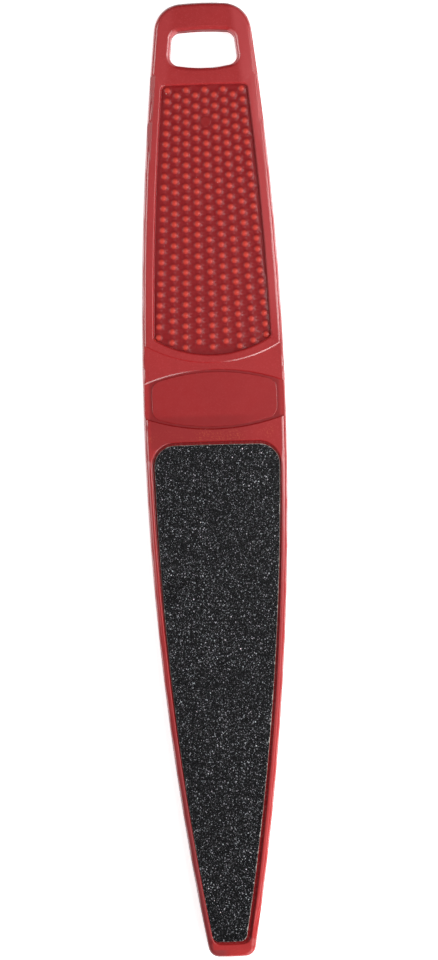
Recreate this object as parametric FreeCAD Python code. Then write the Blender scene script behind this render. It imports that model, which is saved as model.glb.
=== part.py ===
import FreeCAD, Part

import math
import os

# Pedicure foot file: a one-piece moulded plastic paddle with an abrasive sheet bonded to each face.
#
# Frame: +Y points to the handle end with the hang hole, +X to the right when the front face is seen
# from above, and +Z out of the front face. The origin is the middle of the rear face, on which the
# file lies. All sizes are in millimetres.

Vector = FreeCAD.Vector

# Paddle outline: each side is two arcs that meet tangent to +Y at the widest point.
LENGTH = 265.9
WIDTH = 39.6
THICKNESS = 6.0
WIDEST_Y = 18.2
HANDLE_SIDE_R = 919.0
BLADE_SIDE_R = 840.0
END_BOW_R = 80.0
HANDLE_CORNER_R = 7.8
TIP_CORNER_R = 3.0
EDGE_R = 1.4

# Parting line of the mould, a thin witness ridge round the outline and the hang hole.
PARTING_PROUD = 0.08
PARTING_HEIGHT = 0.22

# Hang hole near the handle end.
HOLE_INSET = 5.0
HOLE_TOP_Y = 125.2
HOLE_BOTTOM_Y = 114.8
HOLE_BOTTOM_BOW_R = 39.0
HOLE_CORNER_R = 2.6
HOLE_EDGE_R = 1.3

# Three levels on each face: frame, waist and name plate, parted by arcs with sloping walls.
# A slope is how far the wall runs sideways for each millimetre of its height.
WAIST_DEPTH = 0.20
PLATE_DEPTH = 0.42
WAIST_WALL_SLOPE = 1.5
PLATE_WALL_SLOPE = 1.5
FRAME_WALL_SLOPE = 0.7
WAIST_TOP_Y = 32.7
WAIST_TOP_R = 36.7
PLATE_TOP_Y = 31.2
PLATE_TOP_R = 54.4
PLATE_BOTTOM_Y = 13.9
PLATE_BOTTOM_R = 58.3

# Blank pad raised inside the plate.
PAD_HEIGHT = 0.17
PAD_HALF_WIDTH = 17.4
PAD_TOP_Y = 30.0
PAD_TOP_R = 53.5
PAD_BOTTOM_Y = 14.8
PAD_BOTTOM_R = 57.4
PAD_CORNER_R = 3.0
PAD_EDGE_R = 0.12

# Grip recess with its field of bumps.
GRIP_INSET = 3.3
GRIP_TOP_Y = 109.95
GRIP_BOTTOM_Y = 34.8
GRIP_BOTTOM_R = 31.0
GRIP_DEPTH = 1.0
GRIP_TOP_CORNER_R = 1.3
GRIP_BOTTOM_CORNER_R = 1.5
GRIP_RIM_R = 0.6
GRIP_FLOOR_R = 0.1

BUMP_HEIGHT = 0.35
BUMP_FOOT_R = 1.14
BUMP_PROFILE_STEPS = 6
BUMP_PITCH = 2.985
BUMP_COLUMN_COUNTS = {0: 25, 1: 24, 2: 25, 3: 24, 4: 24}
BUMP_FIRST_Y = 108.65
FAN_TOP_HALF = 10.3
FAN_BOTTOM_HALF = 15.17
EJECTOR_ROW = 3
EJECTOR_R = 1.4
EJECTOR_HEIGHT = 0.12

# Recess for the abrasive sheet.
BLADE_INSET = 1.7
BLADE_TOP_Y = 10.6
BLADE_TIP_Y = -129.4
BLADE_DEPTH = 0.75
BLADE_TOP_CORNER_R = 6.4
BLADE_TIP_CORNER_R = 2.6
BLADE_RIM_R = 0.35
BLADE_FLOOR_R = 0.2

# Abrasive sheet: adhesive film, paper backing and grit coat, laid slightly askew by hand.
SHEET_INSET = 2.25
SHEET_TOP_Y = 9.75
SHEET_TIP_Y = -128.7
SHEET_TOP_CORNER_R = 5.7
SHEET_TIP_CORNER_R = 2.0
ADHESIVE_THICKNESS = 0.13
BACKING_THICKNESS = 0.35
GRIT_THICKNESS = 0.24
SHEET_LAY = {"front": (-0.35, -0.20), "rear": (0.22, 0.08)}

HALF_LENGTH = LENGTH / 2
HALF_WIDTH = WIDTH / 2
MID_Z = THICKNESS / 2

# How far a cutter runs past what it cuts, and how deep a raised feature is rooted in its ground.
CLEAR = 1.0
ROOT = 0.1

# Fineness of the searches for corners and edges.
CORNER_ROUNDS = 20
FLAT = 1e-4
NEAR = 0.1
END_SHARE = 0.3


def half_width(y, inset=0.0):
    """Half the width of the outline at y, moved in square to the outline by inset."""
    radius = HANDLE_SIDE_R if y > WIDEST_Y else BLADE_SIDE_R
    return HALF_WIDTH - radius + math.sqrt((radius - inset) ** 2 - (y - WIDEST_Y) ** 2)


def bow(radius, x):
    """How far an arc of this radius leaves its middle tangent at x."""
    return radius - math.sqrt(radius ** 2 - x ** 2)


def end_corner(middle_y, radius, rise, inset):
    """Where an end arc through (0, middle_y) meets the side; rise is +1 if its ends are higher."""
    y = middle_y
    for _ in range(CORNER_ROUNDS):
        y = middle_y + rise * bow(radius, half_width(y, inset))
    return half_width(y, inset), y


def side_edges(y_start, y_stop, sign, inset):
    """The side of an inset outline from y_start to y_stop, as one arc or two tangent ones."""
    stops = [y_start, y_stop]
    if min(stops) < WIDEST_Y < max(stops):
        stops.insert(1, WIDEST_Y)
    edges = []
    for a, b in zip(stops, stops[1:]):
        points = [Vector(sign * half_width(y, inset), y, 0) for y in (a, (a + b) / 2, b)]
        edges.append(Part.Arc(*points).toShape())
    return edges


def panel(bottom, top, inset, z, height):
    """A plate that follows the outline at an inset. bottom and top are (middle y, radius, rise)."""
    bottom_x, bottom_y = end_corner(*bottom, inset)
    top_x, top_y = end_corner(*top, inset)
    bottom_arc = Part.Arc(
        Vector(-bottom_x, bottom_y, 0), Vector(0, bottom[0], 0), Vector(bottom_x, bottom_y, 0)
    )
    top_arc = Part.Arc(Vector(top_x, top_y, 0), Vector(0, top[0], 0), Vector(-top_x, top_y, 0))
    edges = [bottom_arc.toShape()]
    edges += side_edges(bottom_y, top_y, 1, inset)
    edges.append(top_arc.toShape())
    edges += side_edges(top_y, bottom_y, -1, inset)
    solid = Part.Face(Part.Wire(edges)).extrude(Vector(0, 0, height))
    solid.translate(Vector(0, 0, z))
    return solid


def is_upright(edge):
    """True for a straight edge along Z."""
    box = edge.BoundBox
    return box.XLength < FLAT and box.YLength < FLAT


def round_corners(solid, bottom_r, top_r):
    """Rounds the four upright corner edges of a panel, leaving seams between tangent arcs alone."""
    low = solid.BoundBox.YMin + END_SHARE * solid.BoundBox.YLength
    high = solid.BoundBox.YMax - END_SHARE * solid.BoundBox.YLength
    low_corners = [e for e in solid.Edges if is_upright(e) and e.BoundBox.Center.y < low]
    solid = solid.makeFillet(bottom_r, low_corners)
    high_corners = [e for e in solid.Edges if is_upright(e) and e.BoundBox.Center.y > high]
    return solid.makeFillet(top_r, high_corners)


def edges_at(solid, z, inside=None):
    """The edges that lie flat at height z, all of them or only those inside a bounding box."""
    found = []
    for edge in solid.Edges:
        box = edge.BoundBox
        level = abs(box.ZMin - z) < FLAT and abs(box.ZMax - z) < FLAT
        if level and (inside is None or inside.isInside(box)):
            found.append(edge)
    return found


def around(solid):
    """The solid's bounding box, grown a little on every side."""
    box = FreeCAD.BoundBox(solid.BoundBox)
    box.enlarge(NEAR)
    return box


def cone_about(centre_y, radius_at_face, slope, depth):
    """A cone frustum on a Z axis through (0, centre_y), from below the front face to above it.

    radius_at_face is its radius level with the face, and slope is how much the radius grows per
    millimetre upwards.
    """
    low = radius_at_face - slope * depth
    high = radius_at_face + slope * CLEAR
    base = Vector(0, centre_y, THICKNESS - depth)
    return Part.makeCone(low, high, depth + CLEAR, base)


def level_cutters():
    """What is taken off the front face between the grip frame and the abrasive frame."""
    grip_side = WAIST_TOP_Y + WAIST_TOP_R
    plate_top_side = PLATE_TOP_Y - PLATE_TOP_R
    plate_bottom_side = PLATE_BOTTOM_Y + PLATE_BOTTOM_R
    slab_width = WIDTH + 2 * CLEAR
    slab_low = PLATE_BOTTOM_Y - slab_width
    slab_high = WAIST_TOP_Y + slab_width
    cutters = []
    for depth in (WAIST_DEPTH, PLATE_DEPTH):
        corner = Vector(-slab_width / 2, slab_low, THICKNESS - depth)
        slab = Part.makeBox(slab_width, slab_high - slab_low, depth + CLEAR, corner)
        slab = slab.common(cone_about(plate_bottom_side, PLATE_BOTTOM_R, FRAME_WALL_SLOPE, depth))
        if depth == WAIST_DEPTH:
            slab = slab.cut(cone_about(grip_side, WAIST_TOP_R, -WAIST_WALL_SLOPE, depth))
        else:
            slab = slab.common(cone_about(plate_top_side, PLATE_TOP_R, PLATE_WALL_SLOPE, depth))
        cutters.append(slab)
    return cutters


def name_pad():
    """The blank barrel-shaped pad that stands on the plate."""
    floor_z = THICKNESS - PLATE_DEPTH
    corner_top = PAD_TOP_Y - bow(PAD_TOP_R, PAD_HALF_WIDTH)
    corner_bottom = PAD_BOTTOM_Y + bow(PAD_BOTTOM_R, PAD_HALF_WIDTH)
    right_low = Vector(PAD_HALF_WIDTH, corner_bottom, 0)
    right_high = Vector(PAD_HALF_WIDTH, corner_top, 0)
    left_low = Vector(-PAD_HALF_WIDTH, corner_bottom, 0)
    left_high = Vector(-PAD_HALF_WIDTH, corner_top, 0)
    edges = [
        Part.Arc(left_low, Vector(0, PAD_BOTTOM_Y, 0), right_low).toShape(),
        Part.LineSegment(right_low, right_high).toShape(),
        Part.Arc(right_high, Vector(0, PAD_TOP_Y, 0), left_high).toShape(),
        Part.LineSegment(left_high, left_low).toShape(),
    ]
    pad = Part.Face(Part.Wire(edges)).extrude(Vector(0, 0, PAD_HEIGHT + ROOT))
    pad = round_corners(pad, PAD_CORNER_R, PAD_CORNER_R)
    pad = pad.makeFillet(PAD_EDGE_R, edges_at(pad, PAD_HEIGHT + ROOT))
    pad.translate(Vector(0, 0, floor_z - ROOT))
    return pad


def grip_cutter():
    """The recess under the bumps, with a rounded floor corner."""
    bottom = (GRIP_BOTTOM_Y, GRIP_BOTTOM_R, 1)
    top = (GRIP_TOP_Y, HANDLE_SIDE_R, -1)
    cutter = panel(bottom, top, GRIP_INSET, THICKNESS - GRIP_DEPTH, GRIP_DEPTH + CLEAR)
    cutter = round_corners(cutter, GRIP_BOTTOM_CORNER_R, GRIP_TOP_CORNER_R)
    return cutter.makeFillet(GRIP_FLOOR_R, edges_at(cutter, THICKNESS - GRIP_DEPTH))


def blade_cutter():
    """The recess that holds the abrasive sheet."""
    bottom = (BLADE_TIP_Y, END_BOW_R, 1)
    top = (BLADE_TOP_Y, BLADE_SIDE_R, -1)
    cutter = panel(bottom, top, BLADE_INSET, THICKNESS - BLADE_DEPTH, BLADE_DEPTH + CLEAR)
    cutter = round_corners(cutter, BLADE_TIP_CORNER_R, BLADE_TOP_CORNER_R)
    return cutter.makeFillet(BLADE_FLOOR_R, edges_at(cutter, THICKNESS - BLADE_DEPTH))


def hang_hole(shrink, z, height):
    """The rounded four-sided hole as a plug, made smaller all round by shrink."""
    bottom = (HOLE_BOTTOM_Y + shrink, HOLE_BOTTOM_BOW_R, 1)
    top = (HOLE_TOP_Y - shrink, END_BOW_R, -1)
    plug = panel(bottom, top, HOLE_INSET + shrink, z, height)
    return round_corners(plug, HOLE_CORNER_R - shrink, HOLE_CORNER_R - shrink)


def outline_plate(z, height, proud=0.0):
    """The whole outline of the paddle, moved outwards by proud, with rounded corners."""
    bottom = (-HALF_LENGTH - proud, END_BOW_R, 1)
    top = (HALF_LENGTH + proud, END_BOW_R, -1)
    plate = panel(bottom, top, -proud, z, height)
    return round_corners(plate, TIP_CORNER_R + proud, HANDLE_CORNER_R + proud)


def parting_ridge():
    """The witness ridge at mid-height, standing out of the sides and into the hang hole."""
    low_z = MID_Z - PARTING_HEIGHT / 2
    plate = outline_plate(low_z, PARTING_HEIGHT, PARTING_PROUD)
    return plate.cut(hang_hole(PARTING_PROUD, low_z - CLEAR, PARTING_HEIGHT + 2 * CLEAR))


def dome_z(radius):
    """Height of a bump's shallow dome at this distance from its centre."""
    sphere_r = (BUMP_FOOT_R ** 2 + BUMP_HEIGHT ** 2) / (2 * BUMP_HEIGHT)
    return BUMP_HEIGHT - bow(sphere_r, radius)


def bump():
    """One grip bump: a shallow dome, its foot at z = 0 and its root below that."""
    root_r = BUMP_FOOT_R + ROOT
    radii = [root_r * (1 - step / BUMP_PROFILE_STEPS) for step in range(BUMP_PROFILE_STEPS + 1)]
    profile = [Vector(radius, 0, dome_z(radius)) for radius in radii]
    foot_slope = profile[1] - profile[0]
    flank = Part.BSplineCurve()
    flank.interpolate(Points=profile, InitialTangent=foot_slope, FinalTangent=Vector(-1, 0, 0))
    centre = Vector(0, 0, profile[0].z)
    edges = [
        Part.LineSegment(centre, profile[0]).toShape(),
        flank.toShape(),
        Part.LineSegment(profile[-1], centre).toShape(),
    ]
    return Part.Face(Part.Wire(edges)).revolve(Vector(0, 0, 0), Vector(0, 0, 1), 360)


def bump_places():
    """Centres of the bumps, column by column; the columns fan out towards the waist."""
    outermost = max(BUMP_COLUMN_COUNTS)
    field_length = (max(BUMP_COLUMN_COUNTS.values()) - 1) * BUMP_PITCH
    places = []
    for column in range(-outermost, outermost + 1):
        stagger = (column % 2) * BUMP_PITCH / 2
        for row in range(BUMP_COLUMN_COUNTS[abs(column)]):
            if column == 0 and row == EJECTOR_ROW:
                continue
            y = BUMP_FIRST_Y - stagger - row * BUMP_PITCH
            share = (BUMP_FIRST_Y - y) / field_length
            spread = FAN_TOP_HALF + share * (FAN_BOTTOM_HALF - FAN_TOP_HALF)
            places.append((column / outermost * spread, y))
    return places


def bump_field():
    """All grip bumps of the front face, and the ejector pin's mark in the gap between them."""
    floor_z = THICKNESS - GRIP_DEPTH
    one = bump()
    solids = []
    for x, y in bump_places():
        copy = one.copy()
        copy.translate(Vector(x, y, floor_z))
        solids.append(copy)
    mark_y = BUMP_FIRST_Y - EJECTOR_ROW * BUMP_PITCH
    mark_base = Vector(0, mark_y, floor_z - ROOT)
    solids.append(Part.makeCylinder(EJECTOR_R, EJECTOR_HEIGHT + ROOT, mark_base))
    return solids


def on_rear(shape):
    """The same shape on the rear face, mirrored through the mid-plane."""
    return shape.mirror(Vector(0, 0, MID_Z), Vector(0, 0, 1))


def both_faces(shapes):
    """Each shape as it stands on the front face, and its mirror image on the rear."""
    return list(shapes) + [on_rear(shape) for shape in shapes]


def body():
    """The moulded paddle."""
    paddle = outline_plate(0.0, THICKNESS)
    paddle = paddle.makeFillet(EDGE_R, edges_at(paddle, 0.0) + edges_at(paddle, THICKNESS))
    hole = hang_hole(0.0, -CLEAR, THICKNESS + 2 * CLEAR)
    paddle = paddle.cut(hole)
    rims = edges_at(paddle, 0.0, around(hole)) + edges_at(paddle, THICKNESS, around(hole))
    paddle = paddle.makeFillet(HOLE_EDGE_R, rims)
    paddle = paddle.fuse(parting_ridge())

    paddle = paddle.cut(both_faces(level_cutters()))
    paddle = paddle.fuse(both_faces([name_pad()]))

    for cutter, rim_radius in ((grip_cutter(), GRIP_RIM_R), (blade_cutter(), BLADE_RIM_R)):
        paddle = paddle.cut(both_faces([cutter]))
        front_rim = edges_at(paddle, THICKNESS, around(cutter))
        rear_rim = edges_at(paddle, 0.0, around(on_rear(cutter)))
        paddle = paddle.makeFillet(rim_radius, front_rim + rear_rim)

    return paddle.fuse(both_faces(bump_field()))


def sheet_layer(side, depth_below_face, thickness):
    """One layer of an abrasive sheet, turned and shifted as the sheet was laid by hand."""
    angle, shift = SHEET_LAY[side]
    bottom = (SHEET_TIP_Y, END_BOW_R, 1)
    top = (SHEET_TOP_Y, BLADE_SIDE_R, -1)
    layer = panel(bottom, top, SHEET_INSET, THICKNESS - depth_below_face, thickness)
    layer = round_corners(layer, SHEET_TIP_CORNER_R, SHEET_TOP_CORNER_R)
    middle = Vector(0, (SHEET_TIP_Y + SHEET_TOP_Y) / 2, 0)
    layer.rotate(middle, Vector(0, 0, 1), angle)
    layer.translate(Vector(shift, 0, 0))
    return layer if side == "front" else on_rear(layer)


def write(shape, node):
    """Writes one node's STEP file."""
    shape.exportStep(f"parts/{node}.step")
    print(f"{node}: {len(shape.Solids)} solid, {shape.Volume:.1f} mm3, valid {shape.isValid()}")


os.makedirs("parts", exist_ok=True)
write(body(), "handle_body")
for side in ("front", "rear"):
    depth = BLADE_DEPTH
    for name, thickness in (
        ("adhesive_film", ADHESIVE_THICKNESS),
        ("abrasive_backing", BACKING_THICKNESS),
        ("grit_coat", GRIT_THICKNESS),
    ):
        write(sheet_layer(side, depth, thickness), f"{side}_{name}")
        depth -= thickness
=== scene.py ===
import math
from functools import reduce
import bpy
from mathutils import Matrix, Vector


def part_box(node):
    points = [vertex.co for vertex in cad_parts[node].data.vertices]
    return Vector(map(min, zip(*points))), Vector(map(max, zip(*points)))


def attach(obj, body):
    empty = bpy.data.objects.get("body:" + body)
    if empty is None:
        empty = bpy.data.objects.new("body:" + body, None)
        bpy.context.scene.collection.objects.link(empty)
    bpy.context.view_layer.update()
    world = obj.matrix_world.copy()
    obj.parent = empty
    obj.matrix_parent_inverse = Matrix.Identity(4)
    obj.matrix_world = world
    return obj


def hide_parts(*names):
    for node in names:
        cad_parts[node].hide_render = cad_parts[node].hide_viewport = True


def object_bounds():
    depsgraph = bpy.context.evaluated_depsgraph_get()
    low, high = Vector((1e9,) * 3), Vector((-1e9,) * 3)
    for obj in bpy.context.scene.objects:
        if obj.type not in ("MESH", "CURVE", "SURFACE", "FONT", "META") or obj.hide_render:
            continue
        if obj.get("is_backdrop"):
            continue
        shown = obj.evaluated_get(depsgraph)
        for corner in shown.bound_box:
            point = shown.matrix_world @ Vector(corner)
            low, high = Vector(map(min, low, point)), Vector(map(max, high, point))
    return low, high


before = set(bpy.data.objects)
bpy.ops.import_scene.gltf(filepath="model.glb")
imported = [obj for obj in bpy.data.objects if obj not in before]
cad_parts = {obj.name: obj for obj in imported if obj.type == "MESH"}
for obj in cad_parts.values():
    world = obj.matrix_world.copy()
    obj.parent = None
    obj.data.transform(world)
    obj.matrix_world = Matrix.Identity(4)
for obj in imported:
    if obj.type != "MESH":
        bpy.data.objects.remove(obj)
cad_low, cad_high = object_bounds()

from types import SimpleNamespace

import bpy
import numpy as np
from mathutils import Vector, geometry, noise

# Objects are in metres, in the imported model's own frame: +Y to the handle end, +Z out of the front.
MM = 0.001

# The paddle's plan in millimetres: half its width falls off as a shallow arc from the widest point.
HALF_WIDTH = 19.8
WIDEST_Y = 18.2
SIDE_ARC_R = 880.0
END_BOW_R = 80.0
HALF_LENGTH = (cad_high.y - cad_low.y) / MM / 2
GRIP_LOW_Y = 34.8
GRIP_HIGH_Y = 109.95
GRIP_BOW_R = 31.0
GRIP_EDGE = 0.3
THICKNESS = (cad_high.z - cad_low.z) / MM
MIDDLE_Z = cad_low.z / MM + THICKNESS / 2

# The abrasive coats: big crystals with small ones between them, on a bed of dark resin. A crystal's
# grey is a random number to the power of "curve", times "brightest". A share of them also gets a
# painted glint: a brighter base colour.
BED_BELOW_TOP = 0.17 * MM
CRYSTAL_ROOT = 0.05 * MM
SIDES = {
    "front": {
        "seed": 11,
        "slot": "black_grit",
        "outward": 1,
        "crystals": {
            "big": {
                "spacing": 0.85 * MM,
                "radius": 0.22 * MM,
                "height": 0.28 * MM,
                "shades": {"curve": 5.5, "brightest": 0.95, "glint_share": 0.10},
            },
            "small": {
                "spacing": 0.36 * MM,
                "radius": 0.17 * MM,
                "height": 0.19 * MM,
                "shades": {"curve": 5.5, "brightest": 0.72, "glint_share": 0.03},
            },
        },
    },
    "rear": {
        "seed": 23,
        "slot": "fine_black_grit",
        "outward": -1,
        "crystals": {
            "small": {
                "spacing": 0.30 * MM,
                "radius": 0.16 * MM,
                "height": 0.15 * MM,
                "shades": {"curve": 5.0, "brightest": 0.20, "glint_share": 0.01},
            },
        },
    },
}
# The order of the materials on a grit piece.
GRIT_MATERIALS = ("bed", "small", "big")

# The sheets' edges: the coat's flakes off in chips, the paper's is a little ragged. Crystals nearer
# to the edge than a chip's reach give way to the chips.
OUTLINE_STEP = 0.3 * MM
EDGE_MARGIN = 0.06 * MM
SHORTEST_SIDE = 1e-7
CHIP_DEPTH = 0.34 * MM
CHIP_SIZE = 0.7 * MM
FINE_CHIPS = {"scale": 2.7, "share": 0.4, "seed": 50}
CHIP_THRESHOLD = 0.05
CHIP_REACH = 1.3 * CHIP_DEPTH
RAGGED_SIZE = 0.3 * MM
RAGGED_DEPTH = 0.035 * MM
RAGGED_SEED = 9

# How worn the coat is: all over, and as (what the tip adds, what the whole side adds).
WEAR = 0.5
RIGHT_WEAR = (0.9, 0.25)
LEFT_WEAR = (0.45, 0.0)

# How the crystals are laid, as shares of their spacing.
LATTICE_JITTER = 0.38
CRYSTAL_MARGIN = 0.25

# The ranges that a crystal's shape is drawn from: angles in radians, the rest shares of its size.
BIG_SHAPE = {
    "radius": (0.7, 1.2),
    "height": (0.55, 1.25),
    "squash": (0.65, 1.0),
    "twist": (-0.3, 0.3),
    "top_reach": (0.25, 0.8),
    "root_reach": (0.85, 1.15),
    "top_rise": (0.45, 1.0),
}
SMALL_SHAPE = {
    "radius": (0.75, 1.25),
    "twist": (-0.4, 0.4),
    "lean": (-0.45, 0.45),
    "height": (0.5, 1.2),
}

# The body's shading: corners sharper than the crease stay crisp.
WELD_DISTANCE = 0.0005 * MM
CREASE = math.radians(30)

# The photograph's view: almost straight down through a long lens, rolled a little.
ROLL = math.radians(1.862)
LOOK_AT = Vector((0.53 * MM, -0.15 * MM, cad_low.z + THICKNESS * MM / 2))
CAMERA_HEIGHT = 0.9
VIEW_LENGTH = 0.2679
SENSOR = 36.0
CLIP_START = 0.01

# The stage. Each softbox has a place, a target, a size, a power in watts and a spread in degrees.
WHITE = (1.0, 1.0, 1.0, 1.0)
FLOOR_HALF_SIZE = 3.0
FLOOR_GAP = 0.02 * MM
FLOOR_GLOW = 0.75
WORLD_STRENGTH = 0.10
SOFTBOXES = {
    "key_light": ((0.30, 0.05, 0.45), (0.0, 0.01, 0.0), (0.20, 0.40), 1.36, 180),
    "strip_light": ((0.27, -0.12, 0.235), (0.0, -0.04, 0.0), (0.70, 0.09), 0.75, 180),
    "fill_light": ((-0.38, 0.12, 0.30), (0.0, 0.08, 0.0), (0.40, 0.24), 0.16, 60),
    "low_light": ((0.55, -0.85, 0.40), (0.0, 0.0, 0.0), (0.9, 0.4), 5.4, 180),
}


# ---------------------------------------------------------------- material nodes


class Graph:
    """A new material's node tree, with short calls for the nodes that the materials share.

    Values are outputs of nodes or plain numbers. Lengths are in millimetres.
    """

    def __init__(self, name):
        self.material = bpy.data.materials.new(name)
        self.material.use_nodes = True
        self.tree = self.material.node_tree
        self.shader = self.tree.nodes["Principled BSDF"]
        coordinates = self.node("ShaderNodeTexCoord")
        self.position = self.scaled(coordinates.outputs["Object"], 1 / MM)

    def node(self, kind, **settings):
        """A new node with these settings."""
        made = self.tree.nodes.new(kind)
        for key, value in settings.items():
            setattr(made, key, value)
        return made

    def feed(self, socket, value):
        """Links value to the socket if it is an output, and otherwise sets it."""
        if isinstance(value, bpy.types.NodeSocket):
            self.tree.links.new(value, socket)
        else:
            socket.default_value = value

    def scaled(self, vector, factor):
        """The vector or colour times a number."""
        made = self.node("ShaderNodeVectorMath", operation="SCALE")
        self.feed(made.inputs[0], vector)
        self.feed(made.inputs["Scale"], factor)
        return made.outputs[0]

    def stretched(self, factors):
        """The position times a factor along each axis."""
        made = self.node("ShaderNodeVectorMath", operation="MULTIPLY")
        self.feed(made.inputs[0], self.position)
        self.feed(made.inputs[1], factors)
        return made.outputs[0]

    def split(self, vector):
        """The vector's x, y and z."""
        made = self.node("ShaderNodeSeparateXYZ")
        self.feed(made.inputs[0], vector)
        return made.outputs

    def math(self, operation, a, b=0.0):
        """What a math node makes of a, and of b if it takes two values."""
        made = self.node("ShaderNodeMath", operation=operation)
        self.feed(made.inputs[0], a)
        self.feed(made.inputs[1], b)
        return made.outputs[0]

    def plus(self, *values):
        return reduce(lambda a, b: self.math("ADD", a, b), values)

    def minus(self, *values):
        return reduce(lambda a, b: self.math("SUBTRACT", a, b), values)

    def times(self, *values):
        return reduce(lambda a, b: self.math("MULTIPLY", a, b), values)

    def either(self, *masks):
        """Where any of the masks is on."""
        return reduce(lambda a, b: self.math("MAXIMUM", a, b), masks)

    def outside(self, mask):
        """Where the mask is off."""
        return self.minus(1.0, mask)

    def unsigned(self, value):
        return self.math("ABSOLUTE", value)

    def arc_drop(self, offset, radius):
        """How far a shallow arc falls away at this offset from its top."""
        return self.math("DIVIDE", self.times(offset, offset), 2 * radius)

    def step(self, value, span, to=(0.0, 1.0)):
        """Runs smoothly between the two values of "to" over the span, and is flat outside it."""
        made = self.node("ShaderNodeMapRange", interpolation_type="SMOOTHSTEP")
        self.feed(made.inputs["Value"], value)
        made.inputs["From Min"].default_value, made.inputs["From Max"].default_value = span
        made.inputs["To Min"].default_value, made.inputs["To Max"].default_value = to
        return made.outputs["Result"]

    def fall(self, value, span):
        """1 below the span and 0 above it."""
        return self.step(value, span, (1.0, 0.0))

    def noise(self, size, detail=2.0, roughness=0.5, vector=None):
        """Noise from 0 to 1, with features of about this size."""
        made = self.node("ShaderNodeTexNoise")
        self.feed(made.inputs["Vector"], vector or self.position)
        made.inputs["Scale"].default_value = 1 / size
        made.inputs["Detail"].default_value = detail
        made.inputs["Roughness"].default_value = roughness
        return made.outputs["Fac"]

    def from_specks(self, spacing):
        """The distance to the nearest of scattered points, as a share of their spacing."""
        made = self.node("ShaderNodeTexVoronoi")
        self.feed(made.inputs["Vector"], self.position)
        made.inputs["Scale"].default_value = 1 / spacing
        return made.outputs["Distance"]

    def another(self, island, factor):
        """Another random number from 0 to 1, made from an island's own."""
        return self.math("FRACT", self.times(island, factor))

    def mix(self, share, first, second):
        """Mixes two numbers, or a colour with an (r, g, b)."""
        is_colour = isinstance(second, tuple)
        made = self.node("ShaderNodeMix", data_type="RGBA" if is_colour else "FLOAT")
        ends = [(*end, 1.0) if isinstance(end, tuple) else end for end in (first, second)]
        sockets = [socket for socket in made.inputs if socket.enabled]
        for socket, value in zip(sockets, (share, *ends)):
            self.feed(socket, value)
        return next(socket for socket in made.outputs if socket.enabled)

    def layered(self, colour, layers):
        """Mixes each (share, colour) of the layers over the colour, in turn."""
        for share, tint in layers:
            colour = self.mix(share, colour, tint)
        return colour

    def bump(self, height, depth, normal=None):
        """The normal that a relief of height times depth gives; depth is in metres."""
        made = self.node("ShaderNodeBump")
        made.inputs["Strength"].default_value = 1.0
        made.inputs["Distance"].default_value = depth
        self.feed(made.inputs["Height"], height)
        if normal is not None:
            self.feed(made.inputs["Normal"], normal)
        return made.outputs["Normal"]

    def finish(self, **sockets):
        """Feeds the shader's sockets, named with underscores for spaces, and gives the material."""
        for name, value in sockets.items():
            self.feed(self.shader.inputs[name.replace("_", " ")], value)
        return self.material


# ---------------------------------------------------------------- the red plastic

# Where its masks start and end, in millimetres. In from the whole outline:
OUTER_FILLET = (1.2, 2.2)
SHEET_CHANNEL = (1.5, 1.9)
BLADE_RIM = (1.9, 2.3)
GRIP_WALL = (2.5, 2.8)
GRIP_FLOOR = (3.3, 3.6)
# In from the sides alone:
HOLE_WALL = (3.4, 3.7)
GRIP_RIM = (3.4, 5.6)
# Below the faces:
PLATE_TOP = (0.22, 0.25)
PLATE_GROOVE = (0.28, 0.40)
CHANNEL_FLOOR = (0.45, 0.62)
RECESS_FLOOR = (0.55, 0.80)
BUMP_SIDES = (0.64, 0.93)
# Along the paddle, from the tip upwards:
TIP_END = (-129.5, -128.5)
TIP_RIM = (-100.0, -40.0)
COAT_FADES_IN = (-45.0, 15.0)
NECK_STARTS, NECK_ENDS = (8.0, 9.5), (17.0, 18.5)
FILINGS_START, FILINGS_END = (10.4, 11.4), (13.0, 15.5)
SHEET_ENDS = (10.8, 11.2)
PLATE_STARTS, PLATE_ENDS = (12.0, 12.4), (32.4, 32.8)
LIT_RIM_STARTS = (38.0, 55.0)
HOLE_TOP_STARTS = (108.0, 113.0)
END_SHADE_STARTS = (112.0, 122.0)
HOLE_STARTS = (113.0, 114.0)
# Across the paddle, from left to right:
NECK_ACROSS = (4.0, 14.0)
GRIP_RIM_ACROSS = (-4.0, 8.0)
TIP_LIGHT_ACROSS = (-2.0, 2.0)
TIP_SHADE_ACROSS = (-3.0, 0.0)

# What the surface's normal says: how level it is, and how far it faces left, the tip, the handle's
# end or a side. At a crisp edge it agrees less with the normal rounded over the edge's width; wear
# and a painted highlight are laid there.
LEVEL = (0.92, 0.985)
LEFTWARD = (-0.25, -0.05)
TIPWARD = (-0.5, -0.15)
ENDWARD = (0.3, 0.8)
SIDEWAYS = (0.15, 0.5)
CRISP_EDGE = (0.72, 0.995)
EDGE_WIDTH = 0.16 * MM

# Its colours.
RED = (0.385, 0.015, 0.0165)
CLOUDY_RED = (0.41, 0.017, 0.0185)
MOTTLED_RED = (0.46, 0.03, 0.034)
SPECKLED_RED = (0.50, 0.045, 0.05)
PLATE_RED = (0.31, 0.010, 0.012)
GROOVE_RED = (0.26, 0.007, 0.009)
NECK_RED = (0.27, 0.008, 0.010)
# Painted light: the grip's rims are lighter, more so on the right where the key light falls.
LIT_RIM_RED = (0.52, 0.055, 0.06)
# Partly the polished floors' own deeper tone, partly painted shade of the recesses.
POLISHED_AND_SHADED_RED = (0.24, 0.006, 0.009)
# Painted highlight: the bumps' tops are lighter, as where light catches them.
BUMP_HIGHLIGHT_RED = (0.64, 0.048, 0.030)
# Painted shade in the narrow channel round the sheet.
CHANNEL_SHADE_RED = (0.23, 0.009, 0.011)
# Painted light: the tip's right rim and its very end are lighter, where light falls on them.
LIT_TIP_RED = (0.56, 0.034, 0.032)
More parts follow.
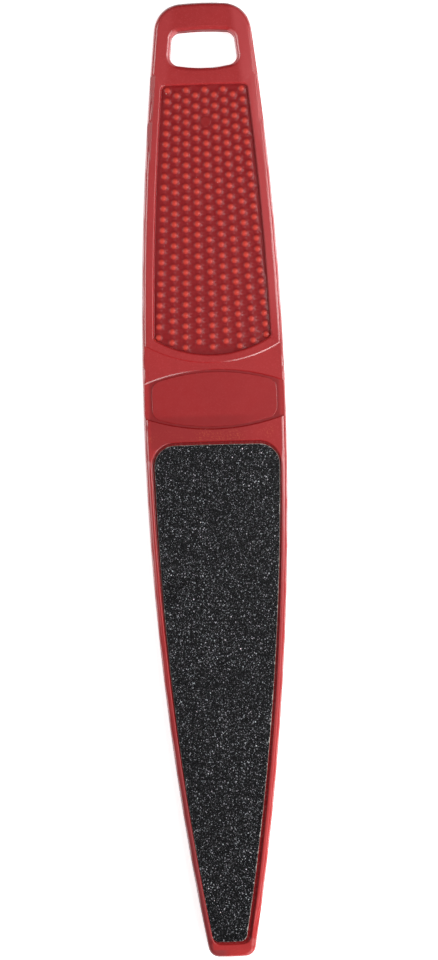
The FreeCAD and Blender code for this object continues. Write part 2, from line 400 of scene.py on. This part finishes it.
# Painted sheen on the hanging hole's side walls.
HOLE_SHEEN_RED = (0.78, 0.22, 0.23)
# Partly wear, partly a painted highlight on crisp edges.
WEAR_AND_SHEEN_RED = (0.62, 0.13, 0.13)
# Painted shade on the handle end's rounding, which faces away from the lights.
END_SHADE = (0.10, 0.014, 0.016)
# Painted shade on the tip's left rim, which tilts away from the light.
TIP_SHADE = (0.17, 0.045, 0.05)
FILINGS = (0.52, 0.08, 0.03)
DUST = (0.75, 0.55, 0.52)

# Its patterns: the size of a noise's features in millimetres, then its detail and roughness.
CLOUDS = (9.0, 3.0)
MOTTLE = (1.3, 4.0, 0.65)
SPECKLES = (0.42, 2.0, 0.6)
SPARK_GRAIN = (0.16, 2.0)
FILING_PATCHES = (7.0, 2.0)
DUST_PATCHES = (8.0, 2.0)
SCRATCHES = (0.35, 3.0)
# How much finer the scratches are along each axis, how far apart the specks of dust are, a speck's
# radius as a share of that, and the relief's depth.
SCRATCH_STRETCH = (2.4, 0.12, 1.0)
DUST_SPACING = 5.5
DUST_SPECK = (0.02, 0.032)
RELIEF_DEPTH = 0.008 * MM


def plastic_zones(g):
    """The paddle's zones as masks, each as strong as it shows, with y and the normal."""
    x, y, z = g.split(g.position)
    normal = g.node("ShaderNodeNewGeometry").outputs["Normal"]
    facing_x, facing_y, facing_z = g.split(normal)
    depth = g.minus(THICKNESS / 2, g.unsigned(g.minus(z, MIDDLE_Z)))
    half_width = g.minus(HALF_WIDTH, g.arc_drop(g.minus(y, WIDEST_Y), SIDE_ARC_R))
    from_side = g.minus(half_width, g.unsigned(x))
    from_end = g.minus(HALF_LENGTH, g.unsigned(y), g.arc_drop(x, END_BOW_R))
    inland = g.math("MINIMUM", from_side, from_end)

    on_flat = g.step(inland, OUTER_FILLET)
    sloped = g.fall(g.unsigned(facing_z), LEVEL)
    above_bow = g.minus(y, GRIP_LOW_Y, g.arc_drop(x, GRIP_BOW_R))
    along_grip = g.times(
        g.step(above_bow, (0.0, GRIP_EDGE)), g.fall(y, (GRIP_HIGH_Y - GRIP_EDGE, GRIP_HIGH_Y))
    )
    in_grip = g.times(along_grip, g.step(inland, GRIP_FLOOR))
    near_grip = g.times(along_grip, g.step(inland, GRIP_WALL))
    hole_top = g.times(g.fall(facing_y, TIPWARD), g.step(y, HOLE_TOP_STARTS))
    unpolished = g.either(in_grip, g.times(near_grip, g.fall(facing_x, LEFTWARD)), hole_top)
    along_plate = g.times(g.step(y, PLATE_STARTS), g.fall(y, PLATE_ENDS))
    on_plate = g.times(along_plate, on_flat, g.step(depth, PLATE_TOP))
    under_sheet = g.times(g.fall(y, SHEET_ENDS), g.step(inland, SHEET_CHANNEL))
    along_neck = g.times(g.fall(y, NECK_ENDS), g.step(y, NECK_STARTS))
    on_grip_rim = g.times(g.step(y, LIT_RIM_STARTS), g.fall(from_side, GRIP_RIM))
    tip_rim = g.times(g.fall(inland, BLADE_RIM), g.fall(y, TIP_RIM))
    in_hole = g.times(g.step(from_side, HOLE_WALL), g.step(y, HOLE_STARTS))
    return SimpleNamespace(
        y=y,
        normal=normal,
        sloped=sloped,
        # The recess floors: polished, and in the colour also darkened with painted shade.
        polished=g.times(g.step(depth, RECESS_FLOOR), on_flat),
        handled=g.times(sloped, g.outside(unpolished)),
        in_grip=in_grip,
        near_grip=near_grip,
        # The bumps' tops, which get a painted highlight.
        lit_bump_tops=g.times(in_grip, g.fall(depth, BUMP_SIDES)),
        on_plate=on_plate,
        in_groove=g.times(on_plate, g.step(depth, PLATE_GROOVE)),
        # The channel round the sheet, darkened with painted shade.
        shaded_channel=g.times(under_sheet, g.step(depth, CHANNEL_FLOOR)),
        by_sheet=g.times(g.step(y, FILINGS_START), g.fall(y, FILINGS_END)),
        on_neck=g.times(along_neck, on_flat, g.step(x, NECK_ACROSS, (0.65, 0.1))),
        # Painted light on the grip's rims, stronger on the right.
        lit_rim=g.times(on_grip_rim, g.step(x, GRIP_RIM_ACROSS, (0.3, 0.7))),
        hole_top=hole_top,
        # Painted shade where the handle's end rounds away from the lights.
        shaded_end=g.times(g.step(facing_y, ENDWARD), g.step(y, END_SHADE_STARTS, (0.0, 0.6))),
        # The hole's side walls, which get a painted sheen.
        hole_sheen=g.times(in_hole, g.step(g.unsigned(facing_x), SIDEWAYS, (0.0, 0.6))),
        # Painted light on the tip's right rim and at its end.
        lit_tip=g.either(
            g.times(tip_rim, g.step(x, TIP_LIGHT_ACROSS, (0.0, 0.6))),
            g.step(y, TIP_END, (0.4, 0.0)),
        ),
        # Painted shade on the tip's rim, on the left.
        shaded_left_tip=g.times(tip_rim, g.step(x, TIP_SHADE_ACROSS, (0.5, 0.0))),
    )


def red_plastic():
    """Moulded red plastic, spark-textured on the frame and polished in the recesses."""
    g = Graph("red_plastic")
    zones = plastic_zones(g)
    bevel = g.node("ShaderNodeBevel", samples=6)
    bevel.inputs["Radius"].default_value = EDGE_WIDTH
    agreement = g.node("ShaderNodeVectorMath", operation="DOT_PRODUCT")
    g.feed(agreement.inputs[0], bevel.outputs[0])
    g.feed(agreement.inputs[1], zones.normal)
    # Crisp edges, where wear and a painted highlight go.
    edge = g.fall(agreement.outputs["Value"], CRISP_EDGE)

    mottle = g.noise(*MOTTLE)
    speckle = g.noise(*SPECKLES)
    filing_patches = g.step(g.noise(*FILING_PATCHES), (0.42, 0.6), (0.0, 0.45))
    filings = g.times(zones.by_sheet, g.step(speckle, (0.5, 0.66)), filing_patches)
    dust_patches = g.step(g.noise(*DUST_PATCHES), (0.5, 0.6))
    dust = g.times(g.fall(g.from_specks(DUST_SPACING), DUST_SPECK), dust_patches)
    colour = g.layered(RED, (
        (g.step(g.noise(*CLOUDS), (0.35, 0.65)), CLOUDY_RED),
        (g.step(mottle, (0.45, 0.75), (0.0, 0.3)), MOTTLED_RED),
        (g.step(speckle, (0.5, 0.75), (0.0, 0.55)), SPECKLED_RED),
        (g.times(zones.on_plate, 0.5), PLATE_RED),
        (g.times(zones.in_groove, 0.8), GROOVE_RED),
        (zones.on_neck, NECK_RED),
        (zones.lit_rim, LIT_RIM_RED),
        (g.times(zones.polished, 0.85), POLISHED_AND_SHADED_RED),
        (zones.lit_bump_tops, BUMP_HIGHLIGHT_RED),
        (zones.shaded_channel, CHANNEL_SHADE_RED),
        (zones.shaded_end, END_SHADE),
        (zones.lit_tip, LIT_TIP_RED),
        (zones.shaded_left_tip, TIP_SHADE),
        (zones.hole_sheen, HOLE_SHEEN_RED),
        (filings, FILINGS),
        (g.times(edge, g.step(mottle, (0.4, 0.7), (0.0, 0.35))), WEAR_AND_SHEEN_RED),
        (dust, DUST),
    ))

    scratches = g.step(g.noise(*SCRATCHES, vector=g.stretched(SCRATCH_STRETCH)), (0.62, 0.72))
    satin = g.step(mottle, (0.3, 0.7), (0.5, 0.6))
    shiny = g.step(mottle, (0.3, 0.7), (0.17, 0.27))
    less_in_grip = g.step(zones.in_grip, (0.0, 1.0), (1.0, 0.45))
    glossy_floor = g.times(zones.polished, g.outside(zones.sloped), less_in_grip)
    smooth = g.either(zones.handled, g.either(glossy_floor, g.times(zones.on_plate, 0.4)))
    roughness = g.plus(g.mix(smooth, satin, shiny), g.times(scratches, 0.07))

    less_on_polish = g.step(zones.polished, (0.0, 1.0), (1.0, 0.15))
    relief = g.plus(g.times(g.noise(*SPARK_GRAIN), less_on_polish), g.times(mottle, 1.2))
    relief = g.minus(relief, g.times(scratches, 0.35))
    coat = g.times(
        g.step(zones.y, COAT_FADES_IN, (0.2, 1.0)),
        g.outside(zones.hole_top),
        g.outside(g.times(zones.near_grip, 0.88)),
    )
    return g.finish(
        Base_Color=colour,
        Roughness=roughness,
        Specular_IOR_Level=0.35,
        Coat_Weight=coat,
        Coat_Roughness=0.15,
        Normal=g.bump(relief, RELIEF_DEPTH, bevel.outputs[0]),
    )


# ---------------------------------------------------------------- the other materials

# The crystals: what turns one random number into others, the tints, and how dark, bright and
# polished they are.
TINT_DRAW, GLINT_DRAW, POLISH_DRAW = 53.0, 37.0, 91.0
COOL_TINT, WARM_TINT = (0.90, 1.0, 1.04), (1.0, 0.93, 1.03)
DARKEST_CRYSTAL = 0.003
# The painted glint: how much brighter a glinting crystal's base colour is.
GLINT = 0.9
CRYSTAL_ROUGHNESS = (0.12, 0.34)

# The other colours, each from dark to light.
RESIN_COLOURS = (0.002, 0.002, 0.003), (0.010, 0.0105, 0.012)
PAPER_COLOURS = (0.30, 0.28, 0.25), (0.86, 0.84, 0.8)
FILM_COLOURS = (0.42, 0.24, 0.16), (0.72, 0.64, 0.52)
FLOOR_COLOURS = (0.86, 0.86, 0.86), (0.88, 0.88, 0.88)
PAPER_STRETCH = (1.0, 1.0, 0.4)


def crystals(name, curve, brightest, glint_share):
    """Silicon carbide grains: black and glassy, each with its own shade, tint and polish."""
    g = Graph(name)
    island = g.node("ShaderNodeNewGeometry").outputs["Random Per Island"]
    tint = g.mix(g.another(island, TINT_DRAW), COOL_TINT, WARM_TINT)
    level = g.times(g.math("POWER", island, curve), brightest)
    # Painted glint: a share of the crystals gets a brighter base colour.
    glint = g.step(g.another(island, GLINT_DRAW), (1.0 - glint_share, 1.0), (0.0, GLINT))
    return g.finish(
        Base_Color=g.scaled(tint, g.plus(level, glint, DARKEST_CRYSTAL)),
        Roughness=g.step(g.another(island, POLISH_DRAW), (0.0, 1.0), CRYSTAL_ROUGHNESS),
        IOR=1.33,
        Normal=g.bump(g.noise(0.05), 0.006 * MM),
    )


def resin():
    """The dark resin that holds the grains."""
    g = Graph("resin_bed")
    lumps = g.noise(0.2, 3.0)
    return g.finish(
        Base_Color=g.mix(lumps, *RESIN_COLOURS),
        Roughness=g.step(lumps, (0.3, 0.7), (0.3, 0.6)),
        IOR=1.3,
        Normal=g.bump(lumps, 0.05 * MM),
    )


def cut_paper():
    """Waterproof backing paper, pale and fibrous where the die has cut it."""
    g = Graph("backing_paper")
    fibres = g.noise(0.12, 4.0, 0.7, g.stretched(PAPER_STRETCH))
    return g.finish(
        Base_Color=g.mix(g.step(fibres, (0.35, 0.7)), *PAPER_COLOURS),
        Roughness=g.step(fibres, (0.3, 0.7), (0.75, 0.95)),
        Normal=g.bump(fibres, 0.06 * MM),
    )


def adhesive_film():
    """Clear-amber pressure-sensitive adhesive, hazed with dust where it shows at the edge."""
    g = Graph("adhesive_film")
    dust = g.noise(0.3, 4.0, 0.7)
    return g.finish(
        Base_Color=g.mix(g.step(dust, (0.4, 0.7)), *FILM_COLOURS),
        Roughness=g.step(dust, (0.35, 0.7), (0.15, 0.6)),
        Normal=g.bump(dust, 0.03 * MM),
    )


def floor_white():
    """A plain pale sweep, lit a little from inside like a light table."""
    g = Graph("floor_white")
    return g.finish(
        Base_Color=g.mix(g.noise(60.0), *FLOOR_COLOURS),
        Roughness=0.7,
        Emission_Color=WHITE,
        Emission_Strength=FLOOR_GLOW,
    )


# ---------------------------------------------------------------- abrasive sheets


def sheet_plan(node):
    """A sheet layer's convex plan: its corners in order, and each side's unit inward normal."""
    points = [vertex.co.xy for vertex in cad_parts[node].data.vertices]
    corners = np.array([points[i] for i in geometry.convex_hull_2d(points)])
    along = np.roll(corners, -1, axis=0) - corners
    corners = corners[np.linalg.norm(along, axis=1) > SHORTEST_SIDE]
    along = np.roll(corners, -1, axis=0) - corners
    lengths = np.linalg.norm(along, axis=1)
    inward = np.stack([-along[:, 1], along[:, 0]], axis=1) / lengths[:, None]
    if np.dot(inward[0], corners.mean(0) - corners[0]) < 0:
        inward = -inward
    return corners, inward


def depths_inside(points, corners, inward):
    """Each side's row of how far each point lies inside it, negative outside."""
    return np.stack([(points - corner) @ normal for corner, normal in zip(corners, inward)])


def chips(points, seed):
    """How far the coat has flaked back from the cut edge at each point; more at the worn tip."""
    low_y = points[:, 1].min()
    span = points[:, 1].max() - low_y
    fine_scale, fine_seed = FINE_CHIPS["scale"], seed + FINE_CHIPS["seed"]
    found = []
    for x, y in points:
        at_tip, on_side = RIGHT_WEAR if x > 0 else LEFT_WEAR
        wear = WEAR + at_tip * (1 - (y - low_y) / span) + on_side
        value = noise.noise(Vector((x / CHIP_SIZE, y / CHIP_SIZE, seed)))
        fine = noise.noise(
            Vector((fine_scale * x / CHIP_SIZE, fine_scale * y / CHIP_SIZE, fine_seed))
        )
        chip = max(0.0, value + FINE_CHIPS["share"] * fine - CHIP_THRESHOLD)
        found.append(CHIP_DEPTH * wear * chip)
    return np.array(found)


def walked_outline(corners):
    """The plan's outline as evenly spaced points."""
    nexts = np.roll(corners, -1, axis=0)
    lengths = np.linalg.norm(nexts - corners, axis=1)
    starts = np.concatenate([[0.0], np.cumsum(lengths)])
    count = int(starts[-1] / OUTLINE_STEP)
    points = []
    for distance in np.linspace(0.0, starts[-1], count, endpoint=False):
        i = min(np.searchsorted(starts, distance, side="right") - 1, len(corners) - 1)
        share = (distance - starts[i]) / lengths[i]
        points.append(corners[i] + share * (nexts[i] - corners[i]))
    return np.array(points)


def inset_outline(corners, inward, amount):
    """The outline moved inwards; amount is a function of the outline's points."""
    outline = walked_outline(corners)
    nearest_side = np.argmin(np.abs(depths_inside(outline, corners, inward)), axis=0)
    return outline + inward[nearest_side] * amount(outline)[:, None]


def slab_mesh(outline, low, high):
    """Vertices and faces of a plate with this outline."""
    count = len(outline)
    turn = np.cross(outline[1] - outline[0], outline.mean(0) - outline[0])
    ring = outline if turn > 0 else outline[::-1]
    vertices = [(x, y, level) for level in (low, high) for x, y in ring]
    faces = [tuple(range(count - 1, -1, -1)), tuple(range(count, 2 * count))]
    for i in range(count):
        j = (i + 1) % count
        faces.append((i, j, count + j, count + i))
    return vertices, faces


def scattered(corners, inward, spacing, random, seed):
    """Jittered points of a triangular lattice inside the plan, short of the chipped edge."""
    low, high = corners.min(0), corners.max(0)
    row_step = spacing * math.sqrt(3) / 2
    ys = np.arange(low[1], high[1], row_step)
    xs = np.arange(low[0], high[0], spacing)
    grid_x, grid_y = np.meshgrid(xs, ys)
    grid_x = grid_x + (np.arange(len(ys)) % 2)[:, None] * spacing / 2
    points = np.stack([grid_x.ravel(), grid_y.ravel()], axis=1)
    points += random.uniform(-LATTICE_JITTER, LATTICE_JITTER, points.shape) * spacing
    depth = depths_inside(points, corners, inward).min(axis=0)
    points, depth = points[depth > 0], depth[depth > 0]
    near = depth < EDGE_MARGIN + CHIP_REACH + spacing
    limit = np.zeros(len(points))
    limit[near] = EDGE_MARGIN + spacing * CRYSTAL_MARGIN + chips(points[near], seed)
    return points[depth > limit]


def big_crystals(points, size, random):
    """Irregular grains of seven faces, as heights above the bed: a tilted triangle on top and walls
    down to a buried one, which is turned half a step and left open."""
    count = len(points)
    angle = random.uniform(0, math.tau, count)
    radius = size["radius"] * random.uniform(*BIG_SHAPE["radius"], count)
    height = size["height"] * random.uniform(*BIG_SHAPE["height"], count)
    squash = random.uniform(*BIG_SHAPE["squash"], count)
    vertices = np.zeros((count, 6, 3))
    for corner in range(6):
        top = corner >= 3
        turn = angle + (corner % 3) * 2 * math.pi / 3 + (math.pi / 3 if top else 0)
        turn = turn + random.uniform(*BIG_SHAPE["twist"], count)
        reach = radius * random.uniform(*BIG_SHAPE["top_reach" if top else "root_reach"], count)
        vertices[:, corner, 0] = points[:, 0] + reach * np.cos(turn) * squash
        vertices[:, corner, 1] = points[:, 1] + reach * np.sin(turn)
        rise = height * random.uniform(*BIG_SHAPE["top_rise"], count) if top else -CRYSTAL_ROOT
        vertices[:, corner, 2] = rise
    faces = [(3, 4, 5)]
    for i in range(3):
        j = (i + 1) % 3
        faces += [(i, j, 3 + i), (j, 3 + j, 3 + i)]
    return vertices, np.array(faces)


def small_crystals(points, size, random):
    """Irregular grains of three faces, as heights above the bed: leaning pyramids, open below."""
    count = len(points)
    angle = random.uniform(0, math.tau, count)
    radius = size["radius"] * random.uniform(*SMALL_SHAPE["radius"], count)
    vertices = np.zeros((count, 4, 3))
    for corner in range(3):
        twist = random.uniform(*SMALL_SHAPE["twist"], count)
        turn = angle + corner * 2 * math.pi / 3 + twist
        vertices[:, corner, 0] = points[:, 0] + radius * np.cos(turn)
        vertices[:, corner, 1] = points[:, 1] + radius * np.sin(turn)
        vertices[:, corner, 2] = -CRYSTAL_ROOT
    lean = random.uniform(*SMALL_SHAPE["lean"], (count, 2))
    vertices[:, 3, :2] = points + radius[:, None] * lean
    vertices[:, 3, 2] = size["height"] * random.uniform(*SMALL_SHAPE["height"], count)
    return vertices, np.array([(0, 1, 3), (1, 2, 3), (2, 0, 3)])


# What builds each kind of crystal, in the order in which they draw their random numbers.
BUILDERS = {"big": big_crystals, "small": small_crystals}


def new_piece(name, vertices, faces, materials, material_of_face=None):
    """A mesh object from vertices and faces, linked and riding on the one body."""
    mesh = bpy.data.meshes.new(name)
    mesh.from_pydata(vertices, [], faces)
    for material in materials:
        mesh.materials.append(material)
    if material_of_face is not None:
        mesh.polygons.foreach_set("material_index", material_of_face)
    mesh.update()
    piece = bpy.data.objects.new(name, mesh)
    bpy.context.scene.collection.objects.link(piece)
    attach(piece, "root")
    return piece


def grit_piece(side, settings, materials):
    """One face's grains on their resin bed, in place of the plain coat."""
    node = f"{side}_grit_coat"
    low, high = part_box(node)
    corners, inward = sheet_plan(node)
    seed, outward = settings["seed"], settings["outward"]
    random = np.random.default_rng(seed)
    outline = inset_outline(corners, inward, lambda points: EDGE_MARGIN + chips(points, seed))
    foot, crown = (low.z, high.z) if outward > 0 else (high.z, low.z)
    bed_z = crown - outward * BED_BELOW_TOP
    vertices, faces = slab_mesh(outline, min(foot, bed_z), max(foot, bed_z))
    which = [np.full(len(faces), GRIT_MATERIALS.index("bed"), np.int32)]
    for kind, build in BUILDERS.items():
        if kind not in settings["crystals"]:
            continue
        size = settings["crystals"][kind]
        points = scattered(corners, inward, size["spacing"], random, seed)
        grains, pattern = build(points, size, random)
        grains[:, :, 2] = bed_z + outward * grains[:, :, 2]
        if outward < 0:
            pattern = pattern[:, ::-1]
        firsts = len(vertices) + grains.shape[1] * np.arange(len(grains))
        vertices += grains.reshape(-1, 3).tolist()
        faces += (firsts[:, None, None] + pattern[None]).reshape(-1, 3).tolist()
        which.append(np.full(len(grains) * len(pattern), GRIT_MATERIALS.index(kind), np.int32))
    piece = new_piece(f"{side}_grit", vertices, faces, materials, np.concatenate(which))
    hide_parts(node)


def paper_piece(side, settings, material):
    """One sheet's backing paper, its cut edge a little ragged."""
    node = f"{side}_abrasive_backing"
    low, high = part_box(node)
    corners, inward = sheet_plan(node)
    seed = settings["seed"] + RAGGED_SEED

    def ragged(points):
        places = [Vector((x / RAGGED_SIZE, y / RAGGED_SIZE, seed)) for x, y in points]
        return RAGGED_DEPTH * np.array([1 + noise.noise(place) for place in places])

    outline = inset_outline(corners, inward, ragged)
    vertices, faces = slab_mesh(outline, low.z, high.z)
    piece = new_piece(f"{side}_backing_paper", vertices, faces, [material])
    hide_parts(node)


# ---------------------------------------------------------------- the CAD's own meshes


def dress(node, material):
    """Gives a node's mesh this material alone, and returns the node's object."""
    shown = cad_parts[node]
    shown.data.materials.clear()
    shown.data.materials.append(material)
    return shown


def finish_body(material):
    """Gives the moulding its plastic and shades its fillets smooth between crisp edges."""
    body = dress("handle_body", material)
    body.modifiers.new("weld", "WELD").merge_threshold = WELD_DISTANCE
    body.modifiers.new("split", "EDGE_SPLIT").split_angle = CREASE
    body.modifiers.new("shade", "WEIGHTED_NORMAL").mode = "FACE_AREA"


# ---------------------------------------------------------------- stage


def area_light(name, place, target, size, power, spread):
    """A rectangular softbox at place, facing target."""
    data = bpy.data.lights.new(name, "AREA")
    data.shape = "RECTANGLE"
    data.size, data.size_y = size
    data.energy = power
    data.spread = math.radians(spread)
    light = bpy.data.objects.new(name, data)
    light.location = place
    light.rotation_euler = (Vector(target) - Vector(place)).to_track_quat("-Z", "Y").to_euler()
    bpy.context.scene.collection.objects.link(light)


def make_floor(floor_z):
    """The white floor under the paddle."""
    half = FLOOR_HALF_SIZE
    square = ((-half, -half), (half, -half), (half, half), (-half, half))
    mesh = bpy.data.meshes.new("floor")
    mesh.from_pydata([(x, y, floor_z) for x, y in square], [], [(0, 1, 2, 3)])
    mesh.materials.append(floor_white())
    floor = bpy.data.objects.new("floor", mesh)
    bpy.context.scene.collection.objects.link(floor)
    floor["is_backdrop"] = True


def light_stage():
    """The even light all round and the softboxes."""
    world = bpy.data.worlds.new("studio")
    world.use_nodes = True
    background = world.node_tree.nodes["Background"]
    background.inputs["Color"].default_value = WHITE
    background.inputs["Strength"].default_value = WORLD_STRENGTH
    bpy.context.scene.world = world
    for name, settings in SOFTBOXES.items():
        area_light(name, *settings)


def place_camera():
    """The camera that took the photograph."""
    data = bpy.data.cameras.new("camera")
    data.sensor_width = SENSOR
    data.lens = SENSOR * CAMERA_HEIGHT / VIEW_LENGTH
    data.clip_start = CLIP_START
    camera = bpy.data.objects.new("camera", data)
    camera.location = LOOK_AT + Vector((0, 0, CAMERA_HEIGHT))
    camera.rotation_euler = (0.0, 0.0, -ROLL)
    bpy.context.scene.collection.objects.link(camera)
    bpy.context.scene.camera = camera
    bpy.context.scene.view_settings.view_transform = "Standard"


def main():
    finish_body(red_plastic())
    film = adhesive_film()
    paper = cut_paper()
    bed = resin()
    for side, settings in SIDES.items():
        dress(f"{side}_adhesive_film", film)
        paper_piece(side, settings, paper)
        grains = [
            crystals(f"{side}_{kind}_crystals", **settings["crystals"][kind]["shades"])
            for kind in GRIT_MATERIALS
            if kind in settings["crystals"]
        ]
        grit_piece(side, settings, [bed, *grains])
    make_floor(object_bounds()[0].z - FLOOR_GAP)
    light_stage()
    place_camera()


main()
